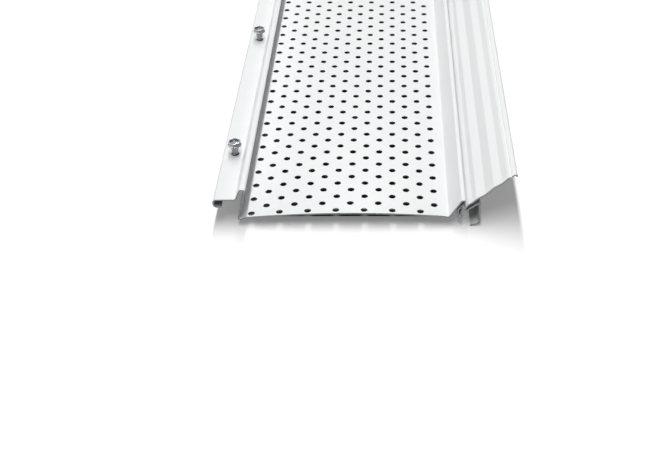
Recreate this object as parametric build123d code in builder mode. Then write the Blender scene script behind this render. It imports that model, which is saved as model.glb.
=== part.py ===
import os
from math import cos, radians, sin, tan

from build123d import *

# A perforated gutter guard for a 5 inch gutter, rolled from painted aluminium sheet.
# Sizes are in millimetres. +X runs from the gutter's front lip to the roof, +Y along the
# gutter and +Z up. Sections are drawn with the guard's nose at X = 0 and the top of the
# front flange at Z = 0, and the finished pieces move to the origin at the end.

# Stock
length = 914.4
sheet = 0.8
bend_radius = 1.0

# Nose hem and front flange
nose_height = 4.4
nose_radius = 2.0
hem_return = 4.4
flange_width = 12.0
flange_curl_radius = 1.6

# Rib at the inner edge of the flange, and the web that drops from it to the deck
rib_height = 5.9
rib_width = 5.2
rib_lean = 0.4
rib_radius = 2.1
web_lean = 4.8
web_foot_drop = 11.1
web_foot_radius = 0.5
foot_strip_width = 3.5

# Recessed deck
deck_drop = 9.5
deck_width = 102.0
deck_bend_radius = 1.0

# Margin, ramp and interlock hook behind the deck
margin_width = 2.7
margin_dip = 0.6
ramp_run = 6.3
ramp_rise = 9.5
crest_width = 2.4
fold_run = 3.63
fold_drop = 6.0
hook_drop = 4.0
hook_gap = 1.1
hook_return = 4.2
hook_radius = 0.5

# Perforations, in staggered rows
hole_diameter = 3.175
holes_per_row = 7
hole_pitch_across = 14.56
hole_pitch_along = 12.8
end_margin = 2.5
first_hole_inset = 2.8

# Rear flange, from the nose that nests behind the hook to the edge under the shingles
nest_clearance = 0.4
nest_drop = 6.0
nest_face_run = 2.6
nest_face_rise = 3.8
nest_tip_run = 1.75
nest_tip_fall = 0.75
under_run = 6.35
under_rise = 4.75
rib_slope = 46.0
flat_slope = 33.0
roof_ribs = ((1.8, 2.1), (4.5, 4.0), (4.0, 2.6))
edge_run = 5.0
edge_lip = 2.4
roof_bend_radius = 3.0
crease_inset = 3.4
crease_radius = 0.5
crease_depth = 0.3

# Leg and foot that hook on the gutter's back wall
leg_drop = 11.55
leg_radius = 0.6
foot_run = 4.3
foot_fall = 1.6

# Hex washer-head screws
screw_count = 7
screw_end_inset = 44.0
screw_inset = 7.0
screw_diameter = 4.2
screw_length = 12.7
screw_point = 4.0
screw_stand = 5.4
screw_clearance = 0.15
washer_diameter = 7.9
washer_thickness = 0.6
head_across_flats = 6.35
head_height = 1.9
head_chamfer = 0.25
head_dish_diameter = 4.8
head_dish_depth = 0.5

# Corners of the panel's upper face, from the hem round to the end of the hook
rib_foot = (flange_width, 0)
rib_outer = (rib_foot[0] + rib_lean, rib_height)
rib_inner = (rib_outer[0] + rib_width, rib_height)
web_foot = (rib_inner[0] - web_lean, -web_foot_drop)
deck_front = (web_foot[0] + foot_strip_width, -deck_drop)
deck_back = (deck_front[0] + deck_width, -deck_drop)
ramp_foot = (deck_back[0] + margin_width, -deck_drop - margin_dip)
crest_front = (ramp_foot[0] + ramp_run, ramp_foot[1] + ramp_rise)
crest_back = (crest_front[0] + crest_width, crest_front[1])
fold_foot = (crest_back[0] - fold_run, crest_back[1] - fold_drop)
hook_low = (fold_foot[0], fold_foot[1] - hook_drop)
hook_turn = (hook_low[0] + hook_gap, hook_low[1])
hook_end = (hook_turn[0], hook_turn[1] + hook_return)

with BuildPart() as perforated_panel:
    with BuildSketch(Plane.XZ) as panel_section:
        with BuildLine():
            FilletPolyline(
                (hem_return, -nose_height),
                (0, -nose_height),
                (0, 0),
                rib_foot,
                rib_outer,
                rib_inner,
                web_foot,
                deck_front,
                deck_back,
                ramp_foot,
                crest_front,
                crest_back,
                fold_foot,
                hook_low,
                hook_turn,
                hook_end,
                radius=[
                    nose_radius,
                    nose_radius,
                    flange_curl_radius,
                    rib_radius,
                    rib_radius,
                    web_foot_radius,
                    deck_bend_radius,
                    deck_bend_radius,
                    deck_bend_radius,
                    bend_radius,
                    bend_radius,
                    bend_radius,
                    hook_radius,
                    hook_radius,
                ],
            )
            offset(amount=sheet, side=Side.RIGHT)
        make_face()
    extrude(amount=length / 2, both=True)

    # Perforations: every other row sits half a pitch across, over the same deck
    rows = int((length - 2 * end_margin) / hole_pitch_along) + 1
    first_hole = deck_front[0] + first_hole_inset
    row_middle = first_hole + (holes_per_row - 1) * hole_pitch_across / 2
    with BuildSketch(Plane.XY.offset(-deck_drop - 2 * sheet)):
        with Locations((row_middle, 0)):
            with GridLocations(hole_pitch_across, hole_pitch_along, holes_per_row, rows):
                Circle(hole_diameter / 2)
        with Locations((row_middle + hole_pitch_across / 2, 0)):
            with GridLocations(hole_pitch_across, hole_pitch_along, holes_per_row, rows - 1):
                Circle(hole_diameter / 2)
    extrude(amount=3 * sheet, mode=Mode.SUBTRACT, clean=False)

    # Screw holes along the front flange
    screw_pitch = (length - 2 * screw_end_inset) / (screw_count - 1)
    with BuildSketch(Plane.XY.offset(-2 * sheet)):
        with Locations((screw_inset, 0)):
            with GridLocations(1, screw_pitch, 1, screw_count):
                Circle(screw_diameter / 2 + screw_clearance)
    extrude(amount=3 * sheet, mode=Mode.SUBTRACT, clean=False)

# Corners of the rear flange's outer face, from its nested nose up to the edge lip
nest_low = (hook_turn[0] + sheet + nest_clearance, crest_back[1] - nest_drop)
nest_top = (nest_low[0] + nest_face_run, nest_low[1] + nest_face_rise)
roof_face = [nest_top]
for flat_run, steep_run in roof_ribs:
    for run, slope in ((flat_run, flat_slope), (steep_run, rib_slope)):
        x, z = roof_face[-1]
        roof_face.append((x + run, z + run * tan(radians(slope))))
edge_x = roof_face[-1][0] + edge_run
edge_z = roof_face[-1][1] + edge_run * tan(radians(flat_slope))
nest_tip = (nest_low[0] + nest_tip_run, nest_low[1] - nest_tip_fall)
leg_top = (nest_tip[0] + under_run, nest_tip[1] + under_rise)
leg_foot = (leg_top[0], leg_top[1] - leg_drop)
toe_end = (leg_foot[0] - foot_run, leg_foot[1] - foot_fall)

with BuildPart() as rear_flange:
    with BuildSketch(Plane.XZ) as rear_section:
        with BuildLine():
            FilletPolyline(
                (edge_x, edge_z - edge_lip),
                (edge_x, edge_z),
                *reversed(roof_face),
                nest_low,
                nest_tip,
                leg_top,
                leg_foot,
                toe_end,
                radius=[
                    bend_radius,
                    *[roof_bend_radius] * (len(roof_face) - 1),
                    bend_radius,
                    bend_radius,
                    bend_radius,
                    leg_radius,
                    leg_radius,
                ],
            )
            offset(amount=sheet, side=Side.LEFT)
        make_face()
        # Fine crease beside the edge lip: a groove whose centre stands off the sloping face
        crease_x = edge_x - crease_inset
        crease_z = edge_z - crease_inset * tan(radians(flat_slope))
        stand_off = crease_radius - crease_depth
        lean = radians(flat_slope)
        with Locations((crease_x - stand_off * sin(lean), crease_z + stand_off * cos(lean))):
            Circle(crease_radius, mode=Mode.SUBTRACT)
    extrude(amount=length / 2, both=True)

with BuildPart() as screw:
    with BuildSketch(Plane.XZ):
        with BuildLine():
            Polyline(
                (0, screw_stand - screw_length),
                (screw_diameter / 2, screw_stand - screw_length + screw_point),
                (screw_diameter / 2, screw_stand),
                (washer_diameter / 2, screw_stand),
                (washer_diameter / 2, screw_stand + washer_thickness / 2),
                (head_across_flats / 2, screw_stand + washer_thickness),
                (0, screw_stand + washer_thickness),
                close=True,
            )
        make_face()
    revolve(axis=Axis.Z)
    with BuildSketch(Plane.XY.offset(screw_stand + washer_thickness / 2)):
        RegularPolygon(head_across_flats / 2, 6, major_radius=False)
    extrude(amount=head_height + washer_thickness / 2)
    chamfer(faces().sort_by(Axis.Z)[-1].edges(), head_chamfer)
    # Shallow dish in the top of the head: a ball that meets the top on the dish's rim
    head_top = screw_stand + washer_thickness + head_height
    dish_radius = (head_dish_diameter**2 / 4 + head_dish_depth**2) / (2 * head_dish_depth)
    with Locations((0, 0, head_top + dish_radius - head_dish_depth)):
        Sphere(dish_radius, mode=Mode.SUBTRACT)

pieces = {"perforated_panel": perforated_panel.part, "rear_flange": rear_flange.part}
with Locations((screw_inset, 0)):
    with GridLocations(1, screw_pitch, 1, screw_count) as screw_places:
        for number, place in enumerate(screw_places.locations, start=1):
            pieces[f"screw_{number:02d}"] = screw.part.moved(place)

# The origin is under the middle of the guard, at the height of its lowest edge
extent = Compound(children=[Pos(0, 0, 0) * piece for piece in pieces.values()]).bounding_box()
to_origin = Location((-extent.center().X, 0, -extent.min.Z))
os.makedirs("parts", exist_ok=True)
for name, piece in pieces.items():
    piece = piece.moved(to_origin)
    piece.label = name
    export_step(piece, f"parts/{name}.step")
    print(name, piece.bounding_box())
print("moved by", to_origin.position)
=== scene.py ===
import math

import bpy
import numpy as np
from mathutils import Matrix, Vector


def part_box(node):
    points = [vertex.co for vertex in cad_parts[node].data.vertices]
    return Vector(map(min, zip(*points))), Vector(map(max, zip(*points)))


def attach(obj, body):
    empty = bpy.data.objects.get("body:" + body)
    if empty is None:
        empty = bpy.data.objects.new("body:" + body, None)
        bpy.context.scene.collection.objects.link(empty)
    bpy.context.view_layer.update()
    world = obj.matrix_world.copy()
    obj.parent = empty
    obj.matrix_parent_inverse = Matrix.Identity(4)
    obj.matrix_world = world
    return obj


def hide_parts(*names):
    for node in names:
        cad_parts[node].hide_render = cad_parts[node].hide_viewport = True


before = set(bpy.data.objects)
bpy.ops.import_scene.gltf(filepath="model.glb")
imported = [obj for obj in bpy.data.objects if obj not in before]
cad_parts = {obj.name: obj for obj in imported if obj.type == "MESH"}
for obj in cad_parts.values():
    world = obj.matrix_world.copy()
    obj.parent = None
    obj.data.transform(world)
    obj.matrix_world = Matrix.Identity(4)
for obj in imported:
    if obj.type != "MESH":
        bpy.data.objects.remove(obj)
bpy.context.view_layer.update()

MM = 0.001

# Places read from the frame, in metres, half the guard's length in millimetres, and the screws' names
PANEL_LOW, PANEL_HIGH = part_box("perforated_panel")
NEAR_END = PANEL_LOW.y
HALF_LENGTH = PANEL_HIGH.y / MM
SCREWS = sorted(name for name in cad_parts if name.startswith("screw_"))

# Sheet and section sizes of the painted face, in millimetres. Sections have the nose at x = 0 and the top
# of the front flange at z = 0. The flange's width, the rib's width and lean, its bends and the curl at its
# foot, the crest's back bend, the nest face, the first roof flat and the crease follow a later look at the
# photograph, and differ a little from the solids.
SHEET = 0.8
NOSE_HEIGHT = 4.4
HEM_RETURN = 4.4
FLANGE_WIDTH = 11.7
RIB_HEIGHT = 5.9
RIB_WIDTH = 3.4
RIB_LEAN = 2.5
WEB_LEAN = 4.8
WEB_FOOT_DROP = 11.1
FOOT_STRIP_WIDTH = 3.5
DECK_DROP = 9.5
DECK_WIDTH = 102.0
MARGIN_WIDTH = 2.7
MARGIN_DIP = 0.6
RAMP_RUN = 6.3
RAMP_RISE = 9.5
CREST_WIDTH = 2.4
FOLD_RUN = 3.63
FOLD_DROP = 6.0
HOOK_DROP = 4.0
HOOK_GAP = 1.1
HOOK_RETURN = 4.2
FLANGE_TOP = PANEL_HIGH.z - RIB_HEIGHT * MM

# Bend radii on the painted face: nose, flange curl, rib, web foot, deck edges, ramp, crest and hook
PANEL_RADII = (2.0, 2.0, 1.2, 1.0, 1.0, 0.5, 1.0, 1.0, 1.0, 1.0, 0.5, 1.0, 0.5, 0.5)

# Perforations, 0.4 mm wider than in the solids, and screw holes with half the width of their lattice cell
HOLE_RADIUS = 3.57 / 2
COLUMNS = 14
COLUMN_PITCH = 7.28
ROW_PITCH = 12.8
ROWS = 72
FIRST_HOLE_INSET = 2.8
SCREW_INSET = 7.0
SCREW_HOLE_RADIUS = 2.25
SCREW_CELL_HALF = 3.0

# Rear flange: nest for the hook, rolled ribs, edge lip, leg and toe
NEST_CLEARANCE = 0.4
NEST_DROP = 6.0
NEST_FACE = (2.2, 3.54)
NEST_TIP = (1.75, -0.75)
UNDER_FACE = (6.35, 4.75)
RIB_SLOPE = 46.0
FLAT_SLOPE = 33.0
ROOF_RIBS = ((2.2, 2.1), (4.5, 4.0), (4.0, 2.6))
EDGE_RUN = 5.0
EDGE_LIP = 2.4
CREASE_INSET = 3.4
CREASE_RADIUS = 0.6
CREASE_DEPTH = 0.45
CREASE_POINTS = 9
LEG_DROP = 11.55
TOE = (-4.3, -1.6)
REAR_RADII = (0.6, 0.6, 1.0, 1.0, 1.0, 3.0, 3.0, 3.0, 3.0, 3.0, 3.0, 1.0)
REAR_STATIONS = 13

# Spring of the deck at the cut ends, where the sheared sheet relaxes: heights at its front edge, middle
# and back edge, and how far it reaches in from the cut
BOW_FRONT = -1.4
BOW_MIDDLE = 1.26
BOW_BACK = -0.6
BOW_REACH = 150.0


def linear(hex_colour):
    """The linear colour of an sRGB hex string, with alpha 1."""
    channels = [int(hex_colour[i : i + 2], 16) / 255 for i in (0, 2, 4)]
    return tuple(c / 12.92 if c <= 0.04045 else ((c + 0.055) / 1.055) ** 2.4 for c in channels) + (1.0,)


def add(tree, kind, inputs=None, **settings):
    """Adds a shader node, sets its properties, and fills each input with a value or a link."""
    node = tree.nodes.new("ShaderNode" + kind)
    for name, value in settings.items():
        setattr(node, name, value)
    for socket, value in (inputs or {}).items():
        if isinstance(value, bpy.types.NodeSocket):
            tree.links.new(value, node.inputs[socket])
        else:
            node.inputs[socket].default_value = value
    return node


def new_material(name):
    """An empty node material, its tree, its output node and its object coordinates."""
    material = bpy.data.materials.new(name)
    material.use_nodes = True
    tree = material.node_tree
    tree.nodes.clear()
    return material, tree, add(tree, "OutputMaterial"), add(tree, "TexCoord").outputs["Object"]


# Rolling lines run a hundred times as far along the guard as their width
ROLLED = (1, 0.01, 1)


def baked_enamel():
    """White polyester enamel baked on coil-coated aluminium. The paint is smooth and semi-gloss, with a
    faint orange peel, fainter lines along the rolling direction, and a tone that drifts over 90 mm. The
    lines are drawn 2.5 mm apart, because the real ones are too fine to show."""
    material, tree, output, place = new_material("baked_white_enamel")
    along = add(tree, "Mapping", {"Vector": place, "Scale": ROLLED})
    peel = add(tree, "TexNoise", {"Vector": place, "Scale": 1 / (1.6 * MM), "Detail": 2.0})
    roll = add(tree, "TexNoise", {"Vector": along.outputs[0], "Scale": 1 / (2.5 * MM), "Detail": 3.0})
    drift = add(tree, "TexNoise", {"Vector": place, "Scale": 1 / (90 * MM), "Detail": 1.0})
    relief = add(tree, "Math", {0: peel.outputs["Fac"], 1: roll.outputs["Fac"]}, operation="ADD")
    bump = add(tree, "Bump", {"Height": relief.outputs[0], "Strength": 0.06, "Distance": 0.02 * MM})
    tone = add(tree, "Mix", {"Factor": drift.outputs["Fac"], "A": linear("F4F5F5"), "B": linear("F0F1F2")},
               data_type="RGBA")
    gloss = add(tree, "MapRange", {"Value": roll.outputs["Fac"], "To Min": 0.28, "To Max": 0.36})
    paint = add(tree, "BsdfPrincipled", {
        "Base Color": tone.outputs["Result"], "Roughness": gloss.outputs[0], "IOR": 1.5,
        "Normal": bump.outputs[0]})
    tree.links.new(paint.outputs[0], output.inputs["Surface"])
    return material


def wash_coat():
    """Thin grey wash coat on the back of the painted coil: flatter and darker than the enamel, with the
    rolling lines of the metal showing through. They are drawn 1.5 mm apart, coarser than the real ones."""
    material, tree, output, place = new_material("grey_wash_coat")
    along = add(tree, "Mapping", {"Vector": place, "Scale": ROLLED})
    roll = add(tree, "TexNoise", {"Vector": along.outputs[0], "Scale": 1 / (1.5 * MM), "Detail": 3.0})
    tone = add(tree, "Mix", {"Factor": roll.outputs["Fac"], "A": linear("A3A5A7"), "B": linear("B2B4B6")},
               data_type="RGBA")
    bump = add(tree, "Bump", {"Height": roll.outputs["Fac"], "Strength": 0.1, "Distance": 0.02 * MM})
    coat = add(tree, "BsdfPrincipled", {
        "Base Color": tone.outputs["Result"], "Roughness": 0.5, "IOR": 1.5, "Normal": bump.outputs[0]})
    tree.links.new(coat.outputs[0], output.inputs["Surface"])
    return material


def sheared_aluminium_with_painted_shade():
    """Bare aluminium where the sheet was slit, sheared or punched: a dull metal with a torn grain, drawn
    0.25 mm wide. Its colour is darker than bare aluminium. This is painted shade that makes the cut edges
    and hole walls read as dark lines."""
    material, tree, output, place = new_material("sheared_aluminium_with_painted_shade")
    grain = add(tree, "TexNoise", {"Vector": place, "Scale": 1 / (0.25 * MM), "Detail": 3.0})
    # Both greys are darker than bare aluminium: painted shade for the cut edges and hole walls
    tone = add(tree, "Mix", {"Factor": grain.outputs["Fac"], "A": linear("6E7072"), "B": linear("949698")},
               data_type="RGBA")
    bump = add(tree, "Bump", {"Height": grain.outputs["Fac"], "Strength": 0.3, "Distance": 0.03 * MM})
    metal = add(tree, "BsdfPrincipled", {
        "Base Color": tone.outputs["Result"], "Metallic": 1.0, "Roughness": 0.45,
        "Normal": bump.outputs[0]})
    tree.links.new(metal.outputs[0], output.inputs["Surface"])
    return material


def zinc_plating_with_painted_shade():
    """Zinc plating on a cold-headed steel screw: a cool, fairly sharp metal with slight mottling, 0.8 mm
    wide. Its colour is darker than bright zinc. This is painted shade that darkens the screw's reflections."""
    material, tree, output, place = new_material("darkened_zinc_plating")
    mottle = add(tree, "TexNoise", {"Vector": place, "Scale": 1 / (0.8 * MM), "Detail": 3.0})
    # Both greys are darker than bright zinc: painted shade that darkens the whole screw
    tone = add(tree, "Mix", {"Factor": mottle.outputs["Fac"], "A": linear("85888B"), "B": linear("A2A5A8")},
               data_type="RGBA")
    gloss = add(tree, "MapRange", {"Value": mottle.outputs["Fac"], "To Min": 0.14, "To Max": 0.26})
    bump = add(tree, "Bump", {"Height": mottle.outputs["Fac"], "Strength": 0.1, "Distance": 0.02 * MM})
    metal = add(tree, "BsdfPrincipled", {
        "Base Color": tone.outputs["Result"], "Metallic": 1.0, "Roughness": gloss.outputs[0],
        "Normal": bump.outputs[0]})
    tree.links.new(metal.outputs[0], output.inputs["Surface"])
    return material


# Faces that meet at more than this keep a sharp edge
SHARP_ANGLE = math.radians(35)


def new_piece(name, vertices, faces, materials):
    """A smooth-shaded mesh object with its materials, in the scene."""
    mesh = bpy.data.meshes.new(name)
    mesh.from_pydata(vertices, [], faces)
    for material in materials:
        mesh.materials.append(material)
    mesh.shade_smooth()
    mesh.set_sharp_from_angle(angle=SHARP_ANGLE)
    piece = bpy.data.objects.new(name, mesh)
    bpy.context.scene.collection.objects.link(piece)
    return piece


# Widest turn between two points of a bend, in degrees
BEND_STEP = 18.0


def rounded(corners, radii):
    """Points of a path whose corners are arcs. An arc starts the radius times the tangent of half the turn
    before its corner, and its points turn about its centre in equal steps."""
    corners = np.asarray(corners, dtype=float)
    stretches = [corners[:1]]
    for before, corner, after, radius in zip(corners, corners[1:], corners[2:], radii):
        into = (corner - before) / np.linalg.norm(corner - before)
        out = (after - corner) / np.linalg.norm(after - corner)
        turn = math.atan2(into[0] * out[1] - into[1] * out[0], into @ out)
        start = corner - radius * math.tan(abs(turn) / 2) * into
        centre = start + math.copysign(radius, turn) * np.array([-into[1], into[0]])
        angle = np.linspace(0, turn, math.ceil(abs(math.degrees(turn)) / BEND_STEP) + 1)[:, None]
        arm = start - centre
        stretches.append(centre + arm * np.cos(angle) + np.array([-arm[1], arm[0]]) * np.sin(angle))
    stretches.append(corners[-1:])
    return np.concatenate(stretches)


def sheet_section(corners, radii):
    """Painted face and back of a bent sheet, point for point. The back's corners are where lines one sheet
    to the right of the face's lines meet, and its bends have the face's centres."""
    corners = np.asarray(corners, dtype=float)
    run = np.diff(corners, axis=0)
    run /= np.linalg.norm(run, axis=1, keepdims=True)
    right = np.stack([run[:, 1], -run[:, 0]], -1)
    meet = (right[:-1] + right[1:]) / (1 + (right[:-1] * right[1:]).sum(1, keepdims=True))
    back_corners = corners + SHEET * np.concatenate([right[:1], meet, right[-1:]])
    turns_left = run[:-1, 0] * run[1:, 1] - run[:-1, 1] * run[1:, 0] > 0
    back_radii = np.array(radii) + np.where(turns_left, SHEET, -SHEET)
    return rounded(corners, radii), rounded(back_corners, back_radii)


def stretch_over(face, x):
    """Index of the first point of the stretch of a section that passes x on its way to the roof."""
    return int(np.argmax((face[:-1, 0] < x) & (face[1:, 0] > x)))


def spread(face, back, at, new_x):
    """Both sides of a section with points at new_x added to the flat stretch that starts at point at."""
    share = (new_x - face[at, 0]) / (face[at + 1, 0] - face[at, 0])
    face_points = face[at] + share[:, None] * (face[at + 1] - face[at])
    back_points = back[at] + share[:, None] * (back[at + 1] - back[at])
    back_points[:, 0] = new_x
    return np.insert(face, at + 1, face_points, axis=0), np.insert(back, at + 1, back_points, axis=0)


# Lattice squares each way in the cell of a hole, lattice points round that cell, and the angle at which
# the ring on the hole's circle starts, towards the cell's corner of least x and y. A hole is a row of the
# first section point and first station of its cell, the x and y of its middle, and its radius.
CELL = 4
AROUND = 4 * CELL
RING_START = -0.75 * math.pi


def sheet_points(face, back, stations, lift, holes):
    """Points of a closed sheet: section point s carried along y to station n, plus the lift at that point,
    for the painted face and then the back. After them come the rings of the holes, 16 points round each
    circle, on the face and then on the back."""
    sections = np.arange(len(face))[:, None]
    first_s = holes[:, :1].astype(int)
    x, y, radius = holes[:, 2:3], holes[:, 3:4], holes[:, 4:5]
    angle = RING_START + 2 * math.pi * np.arange(AROUND) / AROUND
    ring_x = x + radius * np.cos(angle)
    ring_y = y + radius * np.sin(angle)
    lattice, rings = [], []
    for side in (face, back):
        grid = np.zeros((len(face), len(stations), 3))
        grid[..., 0] = side[:, None, 0]
        grid[..., 1] = stations
        grid[..., 2] = side[:, None, 1] + lift(sections, side[:, None, 0], stations)
        lattice.append(grid.reshape(-1, 3))
        ring_z = side[first_s + 1, 1] + lift(first_s, ring_x, ring_y)
        rings.append(np.stack([ring_x, ring_y, ring_z], -1).reshape(-1, 3))
    return np.concatenate(lattice + rings)


def sheet_faces(sections, count, holes):
    """Quads over the points of a closed sheet, for its painted side, its back and its cut edges. Every
    lattice square is a face on both sides, except in the cells of the holes, four squares each way.
    There the 16 lattice points round the cell join the hole's ring, and the ring on the painted face
    joins the ring on the back. Faces turn outwards: along the section and then along y on the painted
    side, and the other way round on the back."""
    below = sections * count
    index = np.arange(below).reshape(sections, count)
    square = np.stack([index[:-1, :-1], index[1:, :-1], index[1:, 1:], index[:-1, 1:]], -1)
    whole = np.ones((sections - 1, count - 1), dtype=bool)
    first_s, first_n = holes[:, :2].astype(int).T
    for ds in range(CELL):
        for dn in range(CELL):
            whole[first_s + ds, first_n + dn] = False
    step = np.arange(AROUND)
    loop_s = np.clip(np.minimum(step, 3 * CELL - step), 0, CELL)
    loop_n = np.clip(np.minimum(step - CELL, AROUND - step), 0, CELL)
    rim = index[first_s[:, None] + loop_s, first_n[:, None] + loop_n]
    upper = 2 * below + np.arange(len(holes) * AROUND).reshape(-1, AROUND)
    lower = upper + len(holes) * AROUND

    def band(outer, inner):
        return np.stack([outer, np.roll(outer, -1, 1), np.roll(inner, -1, 1), inner], -1).reshape(-1, 4)

    def across(line):
        return np.stack([line[:-1], line[:-1] + below, line[1:] + below, line[1:]], -1)

    painted = np.concatenate([square[whole], band(rim, upper)])
    behind = np.concatenate([square[whole] + below, band(rim + below, lower)])[:, ::-1]
    sheared = np.concatenate([
        across(index[:, 0]), across(index[:, -1])[:, ::-1], across(index[0])[:, ::-1], across(index[-1]),
        band(upper, lower)])
    return painted, behind, sheared


def sheet_mesh(name, face, back, stations, lift, holes, materials):
    """A closed sheet with its three finishes: enamel on the painted side, wash coat on the back, and bare
    metal darkened as painted shade on the cut edges. Points that no face uses are left out."""
    sides = sheet_faces(len(face), len(stations), holes)
    used, packed = np.unique(np.concatenate(sides), return_inverse=True)
    points = sheet_points(face, back, stations, lift, holes)[used]
    vertices = points * MM + np.array([PANEL_LOW.x, 0, FLANGE_TOP])
    piece = new_piece(name, vertices.tolist(), packed.reshape(-1, 4).tolist(), materials)
    finish = np.repeat([0, 1, 2], [len(side) for side in sides])
    piece.data.polygons.foreach_set("material_index", finish.astype(np.int32))
    flats = piece.modifiers.new("flats_stay_flat", "WEIGHTED_NORMAL")
    flats.keep_sharp = True
    flats.weight = 100
    return piece


# Corners of the panel's painted face, from the hem round to the end of the hook
RIB_OUTER = (FLANGE_WIDTH + RIB_LEAN, RIB_HEIGHT)
RIB_INNER = (RIB_OUTER[0] + RIB_WIDTH, RIB_HEIGHT)
WEB_FOOT = (RIB_INNER[0] - WEB_LEAN, -WEB_FOOT_DROP)
DECK_FRONT = (WEB_FOOT[0] + FOOT_STRIP_WIDTH, -DECK_DROP)
DECK_BACK = (DECK_FRONT[0] + DECK_WIDTH, -DECK_DROP)
RAMP_FOOT = (DECK_BACK[0] + MARGIN_WIDTH, -DECK_DROP - MARGIN_DIP)
CREST_FRONT = (RAMP_FOOT[0] + RAMP_RUN, RAMP_FOOT[1] + RAMP_RISE)
CREST_BACK = (CREST_FRONT[0] + CREST_WIDTH, CREST_FRONT[1])
FOLD_FOOT = (CREST_BACK[0] - FOLD_RUN, CREST_BACK[1] - FOLD_DROP)
HOOK_LOW = (FOLD_FOOT[0], FOLD_FOOT[1] - HOOK_DROP)
HOOK_TURN = (HOOK_LOW[0] + HOOK_GAP, HOOK_LOW[1])
HOOK_END = (HOOK_TURN[0], HOOK_TURN[1] + HOOK_RETURN)


def deck_spring_over(face):
    """The function that lifts the panel's sheet, of section point, x and y. The lift is a parabola across
    the deck, through the spring's heights at the front edge, middle and back edge. It fades with depth to
    nothing at the rib and the crest, and with the square of the distance from the cut to nothing at its
    reach."""
    middle_x = (DECK_BACK[0] + DECK_FRONT[0]) / 2
    half_deck = (DECK_BACK[0] - DECK_FRONT[0]) / 2
    tilt = (BOW_BACK - BOW_FRONT) / 2
    bend = (BOW_BACK + BOW_FRONT) / 2 - BOW_MIDDLE
    crest_at = int(np.argmax(face[:, 0] > CREST_FRONT[0]))
    depth = np.clip(-face[:, 1] / DECK_DROP, 0, 1) * (np.arange(len(face)) < crest_at)

    def lift(s, x, y):
        share = np.clip((x - middle_x) / half_deck, -1, 1)
        rise = BOW_MIDDLE + tilt * share + bend * share**2
        fade = np.clip(1 - (HALF_LENGTH - np.abs(y)) / BOW_REACH, 0, 1) ** 2
        return rise * depth[s] * fade

    return lift


def panel_holes(columns, deck_at, flange_at, stations):
    """The perforations, column by column, and then the screw holes. Every second column has one row
    fewer and sits half a row along. A screw hole lies where its screw is in the frame."""
    holes = []
    for column, x in enumerate(columns):
        shift = column % 2
        rows = np.arange(ROWS - shift)
        first_s = np.full(len(rows), deck_at + CELL * column)
        first_n = CELL * rows + CELL // 2 * shift
        y = (rows - (ROWS - 1 - shift) / 2) * ROW_PITCH
        same = np.ones(len(rows))
        holes.append(np.stack([first_s, first_n, x * same, y, HOLE_RADIUS * same], -1))
    for name in SCREWS:
        low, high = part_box(name)
        y = (low.y + high.y) / 2 / MM
        first_n = int(np.argmin(np.abs(stations - y))) - CELL // 2
        holes.append(np.array([[flange_at + 1, first_n, SCREW_INSET, y, SCREW_HOLE_RADIUS]]))
    return np.concatenate(holes)


def perforated_panel(materials):
    """The rolled panel with its staggered perforations, its screw holes, and the spring of its deck at the
    cut ends. Section points are added in equal shares between the edges of the holes' cells, and the
    stations along the guard are a quarter of a row apart."""
    corners = (
        (HEM_RETURN, -NOSE_HEIGHT), (0, -NOSE_HEIGHT), (0, 0), (FLANGE_WIDTH, 0), RIB_OUTER, RIB_INNER,
        WEB_FOOT, DECK_FRONT, DECK_BACK, RAMP_FOOT, CREST_FRONT, CREST_BACK, FOLD_FOOT, HOOK_LOW, HOOK_TURN,
        HOOK_END)
    face, back = sheet_section(corners, PANEL_RADII)

    # Section points round the flange's screw holes and the deck's columns of perforations
    quarter = np.arange(CELL + 1) / CELL
    flange_at = stretch_over(face, SCREW_INSET)
    face, back = spread(face, back, flange_at, SCREW_INSET + SCREW_CELL_HALF * (2 * quarter - 1))
    columns = DECK_FRONT[0] + FIRST_HOLE_INSET + COLUMN_PITCH * np.arange(COLUMNS)
    deck_at = stretch_over(face, (DECK_FRONT[0] + DECK_BACK[0]) / 2)
    edges = np.concatenate([face[deck_at, :1], columns[1:] - COLUMN_PITCH / 2, face[deck_at + 1, :1]])
    between = (edges[:-1, None] + np.diff(edges)[:, None] * quarter[:-1]).ravel()[1:]
    face, back = spread(face, back, deck_at, between)

    # Stations along the guard: four to each row, and two from the outer rows to the cut ends
    row_y = (np.arange(CELL * (ROWS - 1) + 1) / CELL - (ROWS - 1) / 2) * ROW_PITCH
    ends = HALF_LENGTH - (HALF_LENGTH - row_y[-1]) * np.array([0.0, 0.5])
    stations = np.concatenate([-ends, row_y, ends[::-1]])

    holes = panel_holes(columns, deck_at, flange_at, stations)
    piece = sheet_mesh(
        "rolled_perforated_panel", face, back, stations, deck_spring_over(face), holes, materials)
    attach(piece, "root")
    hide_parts("perforated_panel")


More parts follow.
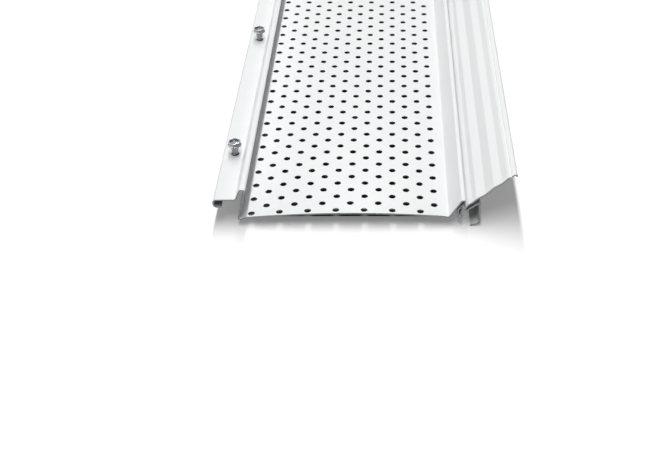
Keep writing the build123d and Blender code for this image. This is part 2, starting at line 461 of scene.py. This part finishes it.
def rear_flange(materials):
    """The rolled flange behind the panel. Its roof face climbs in flat and steep stretches by their runs
    times the tangents of their slopes, and a round groove runs beside the edge lip."""
    nest_low = np.array([HOOK_TURN[0] + SHEET + NEST_CLEARANCE, CREST_BACK[1] - NEST_DROP])
    roof = [nest_low + NEST_FACE]
    for flat_run, steep_run in ROOF_RIBS:
        for run, slope in ((flat_run, FLAT_SLOPE), (steep_run, RIB_SLOPE)):
            roof.append(roof[-1] + [run, run * math.tan(math.radians(slope))])
    edge = roof[-1] + [EDGE_RUN, EDGE_RUN * math.tan(math.radians(FLAT_SLOPE))]
    nest_tip = nest_low + NEST_TIP
    leg_top = nest_tip + UNDER_FACE
    leg_foot = leg_top + [0, -LEG_DROP]
    corners = [leg_foot + TOE, leg_foot, leg_top, nest_tip, nest_low, *roof, edge, edge + [0, -EDGE_LIP]]
    face, back = sheet_section(corners, REAR_RADII)

    # Groove: points across it sink by the circle's depth below the face
    crease_x = edge[0] - CREASE_INSET
    stand_off = CREASE_RADIUS - CREASE_DEPTH
    half_width = math.sqrt(CREASE_RADIUS**2 - stand_off**2)
    offset = half_width * np.linspace(-1, 1, CREASE_POINTS)
    lean = math.radians(FLAT_SLOPE)
    at = stretch_over(face, crease_x)
    face, back = spread(face, back, at, crease_x + offset * math.cos(lean))
    sink = np.sqrt(CREASE_RADIUS**2 - offset**2) - stand_off
    face[at + 1 : at + 1 + CREASE_POINTS] += sink[:, None] * np.array([math.sin(lean), -math.cos(lean)])

    def no_lift(s, x, y):
        return 0 * y

    stations = np.linspace(-HALF_LENGTH, HALF_LENGTH, REAR_STATIONS)
    no_holes = np.zeros((0, 5))
    piece = sheet_mesh("rolled_rear_flange", face, back, stations, no_lift, no_holes, materials)
    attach(piece, "root")
    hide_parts("rear_flange")


# Hex washer-head screw, in millimetres, with heights from the flange top. The solids have a shallower
# dish, a straight plain shank and a washer 0.3 mm wider.
SCREW_STAND = 5.4
SCREW_LENGTH = 12.7
SCREW_RADIUS = 2.1
POINT_LENGTH = 4.0
TIP_RADIUS = 0.05
HEAD_FLATS = 6.35
HEAD_TOP = 7.9
CORNER_LIMIT = 1.12
CUP_RADIUS = 2.55
CUP_DEPTH = 0.95
WASHER_RADIUS = 3.8
WASHER_RISE = 0.6
NECK_SLIM = 0.05
SCREW_STEPS = 48

# Turned profiles, from the top down. Cup: shares of its radius, and of its depth below the rim. Shoulder:
# shares of the hexagon, and drops from the top. Foot: widening of the hexagon, and height over the
# washer. Washer: inset from its rim, and share of its rise. Neck: flare, and drop from the washer.
CUP_PROFILE = ((0.3, 0.8), (0.6, 0.88), (0.8, 1.0), (0.88, 0.95), (0.95, 0.4), (1.0, 0.04), (1.04, 0.0))
SHOULDER_PROFILE = ((0.93, 0.0), (0.985, 0.1), (1.0, 0.3))
FOOT_PROFILE = ((0.0, 0.15), (0.1, 0.02))
WASHER_PROFILE = ((0.25, 0.85), (0.07, 0.72), (0.0, 0.5), (0.07, 0.2), (0.25, 0.03))
NECK_PROFILE = ((0.9, 0.0), (0.4, 0.35), (0.1, 1.0), (0.0, 2.0))

# Thread: its upper end, depth and pitch, half a ridge's width as a share of the pitch, rings to a turn,
# the length over which it fades in, the share of the point over which it fades out, and how near the tip
# its last ring comes
THREAD_START = 0.3
THREAD_DEPTH = 0.5
THREAD_PITCH = 1.41
THREAD_HALF_RIDGE = 0.22
THREAD_RINGS = 12
THREAD_RUN_IN = 0.6
THREAD_RUN_OUT = 0.6
THREAD_END = 0.15


def screw_points(centre_x, centre_y):
    """Points of a screw as a radius over (station, angle). The head's radius is a hexagon, half the
    flats over the cosine of the angle to the nearest flat, with its corners cut round at CORNER_LIMIT
    times half the flats. The cup in its top, the washer and the neck are turned profiles, and the thread
    is the core radius plus a ridge that follows height minus one pitch a turn, fading in under the neck
    and out on the point."""
    angle = np.linspace(0, 2 * math.pi, SCREW_STEPS, endpoint=False)
    to_flat = (angle + math.pi / 6) % (math.pi / 3) - math.pi / 6
    hexagon = np.minimum(HEAD_FLATS / 2 / np.cos(to_flat), HEAD_FLATS / 2 * CORNER_LIMIT)
    low = SCREW_STAND - SCREW_LENGTH
    rings = []

    def ring(radius, z):
        level = np.full(SCREW_STEPS, z)
        rings.append(np.stack([radius * np.cos(angle), radius * np.sin(angle), level], -1))

    for share, drop in CUP_PROFILE:
        ring(share * CUP_RADIUS, HEAD_TOP - drop * CUP_DEPTH)
    for share, drop in SHOULDER_PROFILE:
        ring(share * hexagon, HEAD_TOP - drop)
    for widening, height in FOOT_PROFILE:
        ring(hexagon + widening, SCREW_STAND + WASHER_RISE + height)
    for inset, share in WASHER_PROFILE:
        ring(WASHER_RADIUS - inset, SCREW_STAND + share * WASHER_RISE)
    for flare, drop in NECK_PROFILE:
        ring(SCREW_RADIUS - NECK_SLIM + flare, SCREW_STAND - drop)
    for z in np.arange(THREAD_START, low + THREAD_END, -THREAD_PITCH / THREAD_RINGS):
        core = (SCREW_RADIUS - THREAD_DEPTH) * min(1.0, (z - low) / POINT_LENGTH)
        phase = (z / THREAD_PITCH - angle / (2 * math.pi)) % 1.0
        ridge = np.clip(1 - np.abs(phase - 0.5) / THREAD_HALF_RIDGE, 0, 1)
        run_in = min(1.0, (THREAD_START - z) / THREAD_RUN_IN)
        run_out = min(1.0, (z - low) / (THREAD_RUN_OUT * POINT_LENGTH))
        ring(core + THREAD_DEPTH * ridge * run_in * run_out, z)
    ring(TIP_RADIUS, low)
    return np.stack(rings) * MM + np.array([centre_x, centre_y, FLANGE_TOP])


def turned_mesh(name, points, material):
    """A closed surface from rings of points, [rings, steps, 3]: the steps close round, and the first and
    last rings close on their middle points."""
    rings, steps, _ = points.shape
    ends = np.stack([points[0].mean(0), points[-1].mean(0)])
    vertices = np.concatenate([points.reshape(-1, 3), ends])
    ring, step = np.meshgrid(np.arange(rings - 1), np.arange(steps), indexing="ij")
    here = ring * steps
    under = here + steps
    after = (step + 1) % steps
    quads = np.stack([here + step, under + step, under + after, here + after], -1).reshape(-1, 4)
    turn = np.arange(steps)
    turned = (turn + 1) % steps
    first = np.stack([turn, turned, np.full(steps, rings * steps)], -1)
    last_ring = (rings - 1) * steps
    last = np.stack([last_ring + turned, last_ring + turn, np.full(steps, rings * steps + 1)], -1)
    faces = quads.tolist() + first.tolist() + last.tolist()
    return new_piece(name, vertices.tolist(), faces, [material])


def threaded_screws(material):
    """The detailed screws, each in the place of its plain solid."""
    for name in SCREWS:
        low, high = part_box(name)
        middle = (low + high) / 2
        screw = turned_mesh("hex_washer_" + name, screw_points(middle.x, middle.y), material)
        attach(screw, "root")
        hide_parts(name)


# Stage and light, in metres and watts. The floor glows fully from GLOW_FULL out, and by GLOW_LEAST inside
# GLOW_START. The card reaches from the deck's front edge to just past its back edge, and stops short of
# both cut ends.
FLOOR_HALF = 6.0
FLOOR_DROP = 0.2 * MM
GLOW_START = 0.5
GLOW_FULL = 1.1
GLOW_LEAST = 0.2
CARD_INSET = 2.5 * MM
CARD_PAST_DECK = 1.0 * MM
CARD_HEIGHT = 4.4 * MM
ROOM_GLOW = 0.13
STRIP_PLACE = (-0.038, NEAR_END + 0.25, 0.9)
STRIP_SIZE = (0.06, 1.9)
STRIP_POWER = 10.2

# The room in reflections: a part of a ray's direction, two values of it, and the glow at each. The room
# is the first two multiplied, and the bright card low on the left is the last two multiplied.
ROOM_HEIGHT = ("Z", -0.05, 0.45, 0.12, 1.0)
ROOM_AHEAD = ("Y", -0.7, 0.1, 0.05, 1.0)
LEFT_CARD_RISE = ("Z", 0.08, 0.24, 0.0, 1.5)
LEFT_CARD_SIDE = ("X", -0.2, -0.45, 0.0, 1.0)


def white_paper():
    """White paper sweep, white to the eye and in reflections. Its own glow is faint round the guard, where
    it keeps the shadow, and grows with the distance from the origin, as on a light table with a covered
    middle. Diffuse rays meet a grey paper, which gives the object less light, as dark flags on it would."""
    material, tree, output, place = new_material("studio_floor")
    path = add(tree, "LightPath")
    away = add(tree, "VectorMath", {0: place}, operation="LENGTH")
    uncovered = add(tree, "MapRange", {
        "Value": away.outputs["Value"], "From Min": GLOW_START, "From Max": GLOW_FULL,
        "To Min": GLOW_LEAST, "To Max": 1.0})
    white = add(tree, "BsdfDiffuse", {"Color": linear("FFFFFF")})
    glow = add(tree, "Emission", {"Strength": uncovered.outputs[0]})
    seen = add(tree, "AddShader", {0: white.outputs[0], 1: glow.outputs[0]})
    flagged = add(tree, "BsdfDiffuse", {"Color": linear("909090")})
    paper = add(tree, "MixShader", {
        "Fac": path.outputs["Is Diffuse Ray"], 1: seen.outputs[0], 2: flagged.outputs[0]})
    tree.links.new(paper.outputs[0], output.inputs["Surface"])
    return material


def painted_shade_grey():
    """Dull grey felt: a sheet of painted shade, seen through the perforations."""
    material, tree, output, _ = new_material("painted_shade_grey")
    # The grey is painted shade, seen through the perforations
    felt = add(tree, "BsdfDiffuse", {"Color": linear("7C7C7C")})
    tree.links.new(felt.outputs[0], output.inputs["Surface"])
    return material


def level_sheet(name, left, right, near, far, height, material):
    """A level rectangle between two values of x and two of y."""
    corners = [(left, near, height), (right, near, height), (right, far, height), (left, far, height)]
    return new_piece(name, corners, [(0, 1, 2, 3)], [material])


def studio_floor():
    """A floor just under the guard, large enough to fill the view."""
    floor = level_sheet(
        "studio_floor", -FLOOR_HALF, FLOOR_HALF, -FLOOR_HALF, FLOOR_HALF, -FLOOR_DROP, white_paper())


def shade_card():
    """A grey felt card held just under the deck, a dark sheet of painted shade, so that the perforations
    look dark from above.
    """
    left = PANEL_LOW.x + DECK_FRONT[0] * MM
    right = PANEL_LOW.x + DECK_BACK[0] * MM + CARD_PAST_DECK
    card = level_sheet(
        "shade_card", left, right, NEAR_END + CARD_INSET, -NEAR_END - CARD_INSET, CARD_HEIGHT, painted_shade_grey())


def strip_lamp(name, place, size, power):
    """A rectangular area lamp that faces straight down, with its size across and along the guard."""
    data = bpy.data.lights.new(name, "AREA")
    data.shape = "RECTANGLE"
    data.size, data.size_y = size
    data.energy = power
    lamp = bpy.data.objects.new(name, data)
    lamp.location = place
    bpy.context.scene.collection.objects.link(lamp)


def light_studio():
    """A dim room that is white to the eye. In reflections it is white overhead and dark low down and
    behind the camera, and a bright card low on the left shows in what faces it. A strip lamp hangs
    almost straight over the front rib, a little to the rear flange's side, so that the leaning rib shades
    the narrow strip at its foot and not the deck."""
    world = bpy.data.worlds.new("white_room")
    world.use_nodes = True
    tree = world.node_tree
    tree.nodes.clear()
    path = add(tree, "LightPath")
    way = add(tree, "SeparateXYZ", {"Vector": add(tree, "TexCoord").outputs["Generated"]})
    slopes = []
    for part, start, end, first, last in (ROOM_HEIGHT, ROOM_AHEAD, LEFT_CARD_RISE, LEFT_CARD_SIDE):
        slope = add(tree, "MapRange", {
            "Value": way.outputs[part], "From Min": start, "From Max": end, "To Min": first,
            "To Max": last}, interpolation_type="SMOOTHSTEP")
        slopes.append(slope.outputs[0])
    room = add(tree, "Math", {0: slopes[0], 1: slopes[1]}, operation="MULTIPLY")
    card = add(tree, "Math", {0: slopes[2], 1: slopes[3]}, operation="MULTIPLY")
    mirrored = add(tree, "Math", {0: room.outputs[0], 1: card.outputs[0]}, operation="ADD")
    unseen = add(tree, "Mix", {
        "Factor": path.outputs["Is Glossy Ray"], "A": ROOM_GLOW, "B": mirrored.outputs[0]})
    seen = add(tree, "Math", {0: path.outputs["Is Camera Ray"], 1: path.outputs["Is Transmission Ray"]},
               operation="MAXIMUM")
    strength = add(tree, "Mix", {"Factor": seen.outputs[0], "A": unseen.outputs[0], "B": 1.0})
    white = add(tree, "Background", {"Color": linear("FFFFFF"), "Strength": strength.outputs[0]})
    tree.links.new(white.outputs[0], add(tree, "OutputWorld").inputs["Surface"])
    bpy.context.scene.world = world
    strip_lamp("overhead_strip", STRIP_PLACE, STRIP_SIZE, STRIP_POWER)


# The photograph's view, in pixels: its width, the column of its optical axis, its focal length, and how
# far above the middle row the guard's long edges meet. The sensor is in millimetres, and the camera's
# place in metres.
PHOTO_WIDTH = 646
AXIS_X = 392.0
FOCAL_PX = 1115.0
VANISHING_RISE = 810.0
SENSOR_WIDTH = 36
CLIP_START = 0.01
CAMERA_FROM_NOSE = 91.77 * MM
CAMERA_ABOVE_FLANGE = 321.0 * MM
CAMERA_BEFORE_END = 468.6 * MM


def photo_camera():
    """The camera looks along the guard from above its near end, down by the angle whose tangent is the
    rise of the vanishing point over the focal length."""
    data = bpy.data.cameras.new("photo_camera")
    data.sensor_width = SENSOR_WIDTH
    data.lens = FOCAL_PX / PHOTO_WIDTH * SENSOR_WIDTH
    data.shift_x = (PHOTO_WIDTH / 2 - AXIS_X) / PHOTO_WIDTH
    data.clip_start = CLIP_START
    camera = bpy.data.objects.new("photo_camera", data)
    camera.location = (
        PANEL_LOW.x + CAMERA_FROM_NOSE, NEAR_END - CAMERA_BEFORE_END, FLANGE_TOP + CAMERA_ABOVE_FLANGE)
    camera.rotation_euler = (math.pi / 2 - math.atan(VANISHING_RISE / FOCAL_PX), 0, 0)
    bpy.context.scene.collection.objects.link(camera)
    bpy.context.scene.camera = camera


SHEET_FINISHES = [baked_enamel(), wash_coat(), sheared_aluminium_with_painted_shade()]
perforated_panel(SHEET_FINISHES)
rear_flange(SHEET_FINISHES)
threaded_screws(zinc_plating_with_painted_shade())
studio_floor()
shade_card()
light_studio()
photo_camera()
bpy.context.scene.view_settings.view_transform = "Standard"
